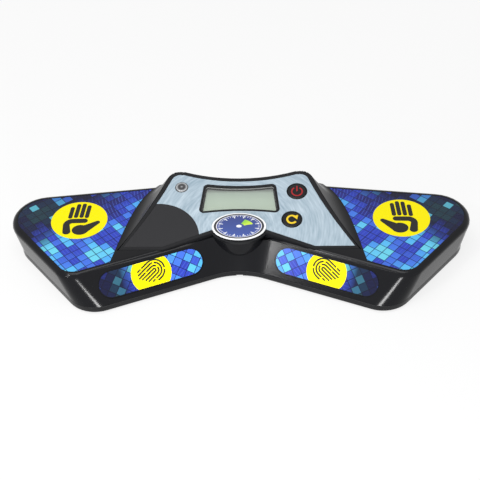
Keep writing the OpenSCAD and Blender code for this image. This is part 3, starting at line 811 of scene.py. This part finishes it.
def cut_spot():
    obj = disc((0, 0), SPOT_R, 96)
    edit(obj)
    for way in (1, -1):
        bpy.ops.mesh.select_all(action="SELECT")
        bpy.ops.mesh.bisect(plane_co=(0, way * (FILM_WIDE / 2 - 0.02 * mm), 0), plane_no=(0, way, 0),
                            clear_outer=True)
    bpy.ops.object.mode_set(mode="OBJECT")
    return obj


def ridge(k, side):
    """Loop k of the finger sign: half a ring and two legs, some of them with a break."""
    radius = (0.9 + RIDGE_PITCH * k) * mm
    gap = (k * 47 + 35) % 140 - 70

    def keep(a):
        turned = (a if side < 0 else 180 - a) % 360
        turned = turned - 360 if turned > 180 else turned
        return abs(turned) < 90 and (k == 0 or abs(turned - gap) > 24 / (k + 1))

    def at(x, y):
        return (side * (x - HEART), y)

    parts = [ring((-side * HEART, 0), radius, RIDGE_WIDE, keep)]
    for way, long in zip((1, -1), LEGS[k]):
        share = 0.35 + 0.1 * k
        stop = long * share * mm
        far = long * mm - RIDGE_WIDE / 2
        runs = [(0, far)]
        if (k, way) in BROKEN:
            runs = [(0, stop - RIDGE_WIDE), (stop + RIDGE_WIDE * 0.7, far)]
        for start, end in runs:
            parts.append(bar(at(start, way * radius), at(end, way * radius), RIDGE_WIDE))
    return parts


for name, side in SIDES.items():
    face = slope_face(side)
    spot = lay([cut_spot()], face, FILM_HALF)
    finish(spot, name + "_finger_spot", "housing", "finger_print", yellow_ink)
    lines = [part for k in range(RIDGES) for part in ridge(k, side)]
    sign = lay(lines, face @ Matrix.Rotation(radians(-side * 30), 4, "Z"), FILM_HALF + INK * 0.6)
    finish(sign, name + "_finger_sign", "housing", "finger_print", black_ink)
print("finger spots ready")

# %% [markdown]
# ### Button signs
# The caps are slightly domed, so the signs on them are lowered by the same dome.

# %% Power and reset
BUTTON_R = 5.75 * mm
BUTTON_DOME = 0.35 * mm
BUTTON_TOP = -0.1 * mm
POWER_AT = Vector((36.2, 43.8, 0)) * mm
RESET_AT = Vector((32.8, 21.6, 0)) * mm


def arrow_head(at, size, turn):
    obj = disc((0, 0), size, 3)
    obj.rotation_euler = (0, 0, radians(turn))
    obj.location = (*at, 0)
    return apply_place(obj)


def button_face(at):
    return console_face @ Matrix.Translation(at)


power_parts = [ring((0, -0.2 * mm), 3.3 * mm, 0.9 * mm, lambda a: abs(a - 90) > 32),
               bar((0, 0.3 * mm), (0, 3.8 * mm), 0.9 * mm)]
power_sign = lay(power_parts, button_face(POWER_AT), BUTTON_TOP, (BUTTON_R, BUTTON_DOME))
finish(power_sign, "power_sign", "power_key", "button_black", red_ink)

ARROW_R = 2.9 * mm
ARROW_TIP = radians(28)
arrow_at = (ARROW_R * cos(ARROW_TIP), ARROW_R * sin(ARROW_TIP) + 0.5 * mm)
reset_parts = [ring((0, 0), ARROW_R, 1.25 * mm, lambda a: 50 < a < 325),
               arrow_head(arrow_at, 2.1 * mm, 200)]
reset_sign = lay(reset_parts, button_face(RESET_AT), BUTTON_TOP, (BUTTON_R, BUTTON_DOME))
finish(reset_sign, "reset_sign", "reset_key", "button_black", amber_ink)

for key in ("power", "reset"):
    node = key + "_button"
    finish(skin(node, 50), node + "_cap", key + "_key", "button_black", button_satin, node)
print("buttons at", round(POWER_AT.x / mm, 1), round(RESET_AT.x / mm, 1))

# %% [markdown]
# ## Parts that stay as they are
# Films, board and cells already have their true shape, so they only need a finish.

# %% Finishes on the construction's own nodes
dressed = {
    "console_plate": plate_silver, "lcd_window": window_clear,
    "lcd_panel": display_grey_painted_shade(PANEL_LOW, PANEL_HIGH), "lcd_carrier": white_plastic,
    "led": white_plastic, "power_plunger": plunger_amber, "reset_plunger": plunger_amber,
    "power_switch": switch_grey, "reset_switch": switch_grey, "main_board": board_green,
    "controller": chip_black, "board_screws": spring_steel, "case_screws": spring_steel,
    "cell_contacts": spring_steel, "cell_springs": spring_steel, "data_jack": chip_black,
    "front_cell": shrink_wrap("front_cell_wrap", 1), "rear_cell": shrink_wrap("rear_cell_wrap", -1),
}
for name in SIDES:
    dressed[name + "_hand_pad"] = hand_prints[name]
    dressed[name + "_finger_pad"] = finger_prints[name]
    dressed[name + "_hand_sensor"] = copper_foil
    dressed[name + "_finger_sensor"] = copper_foil
for node, material in dressed.items():
    data = frame["nodes"][node].data
    data.materials.clear()
    data.materials.append(material)
print("dressed", len(dressed), "nodes")

# %% [markdown]
# ## Table, light and camera
# The object stands on a white table. The table and the world are white only to the camera and to
# reflections, so the light on the object stays plain. One wide lamp above gives the soft shadow. A
# small low one draws the upright highlights on the front corners. A larger one at the left models the
# edges, and a tiny one is mirrored on the slope to the right of the badge. Far from the object the
# table turns fully white, so that no horizon shows.

# %% Rays that see the background
def background_rays(tree):
    """1 for rays from the camera, and for those mirrored by the object or sent through it."""
    paths = tree.nodes.new("ShaderNodeLightPath")
    seen = paths.outputs["Is Camera Ray"]
    for kind in ("Is Glossy Ray", "Is Transmission Ray"):
        either = tree.nodes.new("ShaderNodeMath")
        either.operation = "MAXIMUM"
        tree.links.new(seen, either.inputs[0])
        tree.links.new(paths.outputs[kind], either.inputs[1])
        seen = either.outputs[0]
    return seen


# %% Floor
FLOOR_SHOWN = 0.8
FADE_FROM = 0.3
FADE_OVER = 0.9

bpy.ops.object.select_all(action="DESELECT")
bpy.ops.mesh.primitive_plane_add(size=6, location=(0, 0, 0))
floor = bpy.context.object
floor.name = "table_top"
r = Recipe("table_white", (0.86, 0.86, 0.86), 0.7)
seen = Wire(r, background_rays(r.tree))
glow = r.node("ShaderNodeEmission", {}, {"Color": (1, 1, 1, 1), "Strength": 1.0})
x, y, _ = r.place()
far = ((length(x, y) - FADE_FROM) / FADE_OVER).clamped()
white = seen * (far * (1 - FLOOR_SHOWN) + FLOOR_SHOWN)
both = r.node("ShaderNodeMixShader", {}, {0: white, 1: Wire(r, r.shader.outputs[0]), 2: glow})
r.tree.links.new(both.socket, r.tree.nodes["Material Output"].inputs[0])
floor.data.materials.append(r.material)

# %% World
AMBIENT = 0.45
world = bpy.data.worlds.new("studio")
bpy.context.scene.world = world
world.use_nodes = True
level = world.node_tree.nodes.new("ShaderNodeMath")
level.operation = "MULTIPLY_ADD"
world.node_tree.links.new(background_rays(world.node_tree), level.inputs[0])
level.inputs[1].default_value = 1 - AMBIENT
level.inputs[2].default_value = AMBIENT
backdrop = world.node_tree.nodes["Background"]
backdrop.inputs["Color"].default_value = (1, 1, 1, 1)
world.node_tree.links.new(level.outputs[0], backdrop.inputs["Strength"])


# %% Lamps
def lamp(name, at, target, size, power):
    data = bpy.data.lights.new(name, "AREA")
    data.shape = "RECTANGLE"
    data.size, data.size_y = size
    data.energy = power
    obj = bpy.data.objects.new(name, data)
    bpy.context.scene.collection.objects.link(obj)
    away = Vector(at) - Vector(target)
    obj.matrix_world = Matrix.Translation(at) @ away.to_track_quat("Z", "Y").to_matrix().to_4x4()


lamp("overhead", (-0.10, -0.20, 0.90), (0, 0, 0), (0.7, 0.5), 4.8)
lamp("low_front", (0.0, -0.54, 0.08), (0, 0, 0.01), (0.08, 0.08), 1.2)
lamp("left_front", (-0.34, -0.42, 0.55), (0.02, 0, 0.02), (0.09, 0.09), 0.9)
lamp("slope_glint", (-0.304, -0.355, 0.193), (0.022, -0.017, 0.022), (0.022, 0.03), 0.26)
print("lamps", len(bpy.data.lights))

# %% [markdown]
# The camera stands where the photograph was taken from: nearly in front, 39 degrees above the table,
# and far enough away that the wings hardly taper.

# %% Camera
CAMERA_AT = Vector((27.27, -560.94, 515.05)) * mm
CAMERA_RIGHT = Vector((0.99934, 0.02242, -0.02888))
CAMERA_UP = Vector((0.00675, 0.66322, 0.74841))
CAMERA_BACK = Vector((0.03593, -0.74810, 0.66262))
camera_data = bpy.data.cameras.new("camera")
camera_data.lens = 90
camera_data.sensor_width = 36
camera = bpy.data.objects.new("camera", camera_data)
bpy.context.scene.collection.objects.link(camera)
turn = Matrix((CAMERA_RIGHT, CAMERA_UP, CAMERA_BACK)).transposed().to_4x4()
camera.matrix_world = Matrix.Translation(CAMERA_AT) @ turn
bpy.context.scene.camera = camera
bpy.context.scene.view_settings.view_transform = "Standard"

# %% Done
print("scene ready")
